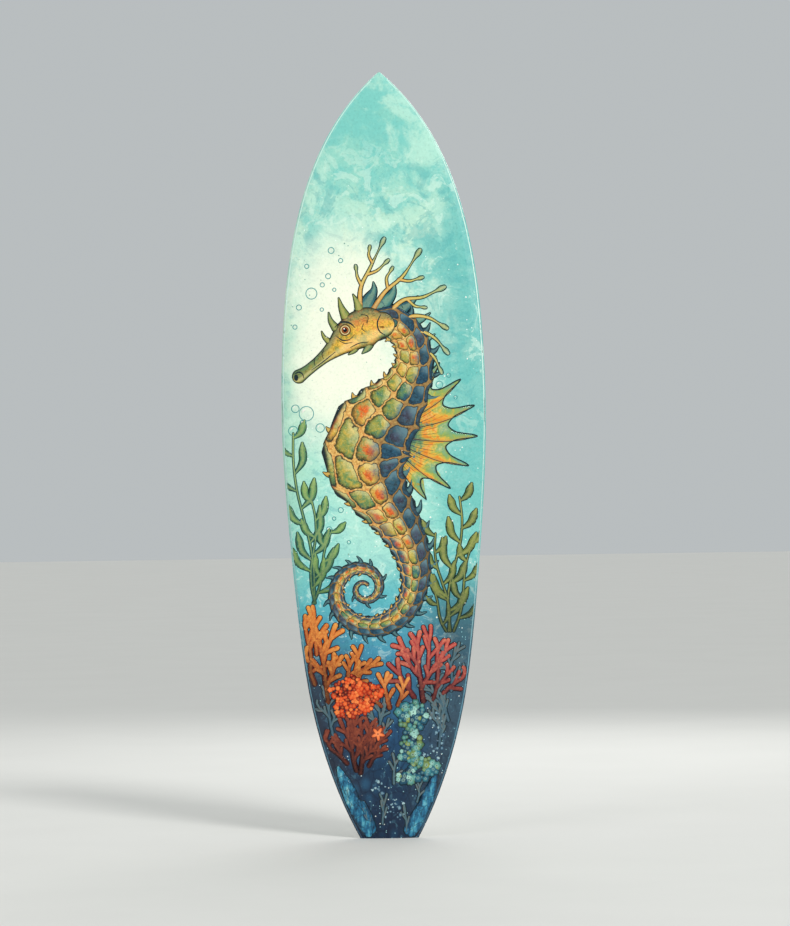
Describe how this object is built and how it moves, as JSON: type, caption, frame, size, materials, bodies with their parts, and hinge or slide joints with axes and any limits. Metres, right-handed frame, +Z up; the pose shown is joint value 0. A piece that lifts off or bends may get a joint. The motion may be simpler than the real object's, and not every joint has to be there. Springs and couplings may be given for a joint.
{
  "type": "shortboard surfboard",
  "caption": "Shortboard surfboard with a pointed nose and rounded pin tail, wooden stringer, removable fins in screwed plugs, leash cup and an underwater mural on the deck.",
  "frame": {"origin": "middle of the tail tip, where the board goes into the sand", "axes": "+Z up the board from tail to nose, +X to the right seen from the deck side, -Y out of the deck, +Y out of the bottom on the fin side"},
  "size_m": [0.4824, 0.2192, 1.88],
  "materials": {
    "foam": "matte",
    "stringer_wood": "satin",
    "printed_cloth": "matte",
    "deck_laminate": "gloss",
    "bottom_laminate": "gloss",
    "plug_plastic": "satin",
    "cup_plastic": "satin",
    "stainless_bar": "satin",
    "stainless_screw": "satin",
    "fin_composite": "satin"
  },
  "bodies": {
    "board": {"foam_blank_left": "foam", "foam_blank_right": "foam", "stringer": "stringer_wood", "deck_print": "printed_cloth", "deck_glass": "deck_laminate", "bottom_glass": "bottom_laminate", "leash_cup": "cup_plastic", "leash_bar": "stainless_bar", "fin_plug_left_front": "plug_plastic", "fin_plug_left_rear": "plug_plastic", "fin_plug_right_front": "plug_plastic", "fin_plug_right_rear": "plug_plastic", "fin_plug_centre_front": "plug_plastic", "fin_plug_centre_rear": "plug_plastic"},
    "fin_left": {"fin_left": "fin_composite"},
    "screw_left_front": {"grub_screw_left_front": "stainless_screw"},
    "screw_left_rear": {"grub_screw_left_rear": "stainless_screw"},
    "fin_right": {"fin_right": "fin_composite"},
    "screw_right_front": {"grub_screw_right_front": "stainless_screw"},
    "screw_right_rear": {"grub_screw_right_rear": "stainless_screw"},
    "fin_centre": {"fin_centre": "fin_composite"},
    "screw_centre_front": {"grub_screw_centre_front": "stainless_screw"},
    "screw_centre_rear": {"grub_screw_centre_rear": "stainless_screw"}
  },
  "joints": [
    {"name": "fin_left_pull", "type": "slide", "parent": "board", "child": "fin_left", "axis": [-0.1044, 0.9915, -0.0773], "range_m": [0, 0.022]},
    {"name": "screw_left_front_turn", "type": "hinge", "parent": "board", "child": "screw_left_front", "pos_m": [-0.11457, 0.04376, 0.36186], "axis": [0.3251, 0.9407, -0.0971], "range_deg": [0, 720]},
    {"name": "screw_left_rear_turn", "type": "hinge", "parent": "board", "child": "screw_left_rear", "pos_m": [-0.11759, 0.03925, 0.30813], "axis": [0.3251, 0.9407, -0.0971], "range_deg": [0, 720]},
    {"name": "fin_right_pull", "type": "slide", "parent": "board", "child": "fin_right", "axis": [0.1044, 0.9915, -0.0773], "range_m": [0, 0.022]},
    {"name": "screw_right_front_turn", "type": "hinge", "parent": "board", "child": "screw_right_front", "pos_m": [0.11457, 0.04376, 0.36186], "axis": [-0.3251, 0.9407, -0.0971], "range_deg": [0, 720]},
    {"name": "screw_right_rear_turn", "type": "hinge", "parent": "board", "child": "screw_right_rear", "pos_m": [0.11759, 0.03925, 0.30813], "axis": [-0.3251, 0.9407, -0.0971], "range_deg": [0, 720]},
    {"name": "fin_centre_pull", "type": "slide", "parent": "board", "child": "fin_centre", "axis": [0, 0.993, -0.118], "range_m": [0, 0.022]},
    {"name": "screw_centre_front_turn", "type": "hinge", "parent": "board", "child": "screw_centre_front", "pos_m": [0.00549, 0.02492, 0.17235], "axis": [0.4226, 0.9, -0.1069], "range_deg": [0, 720]},
    {"name": "screw_centre_rear_turn", "type": "hinge", "parent": "board", "child": "screw_centre_rear", "pos_m": [0.00549, 0.01855, 0.11872], "axis": [0.4226, 0.9, -0.1069], "range_deg": [0, 720]}
  ]
}
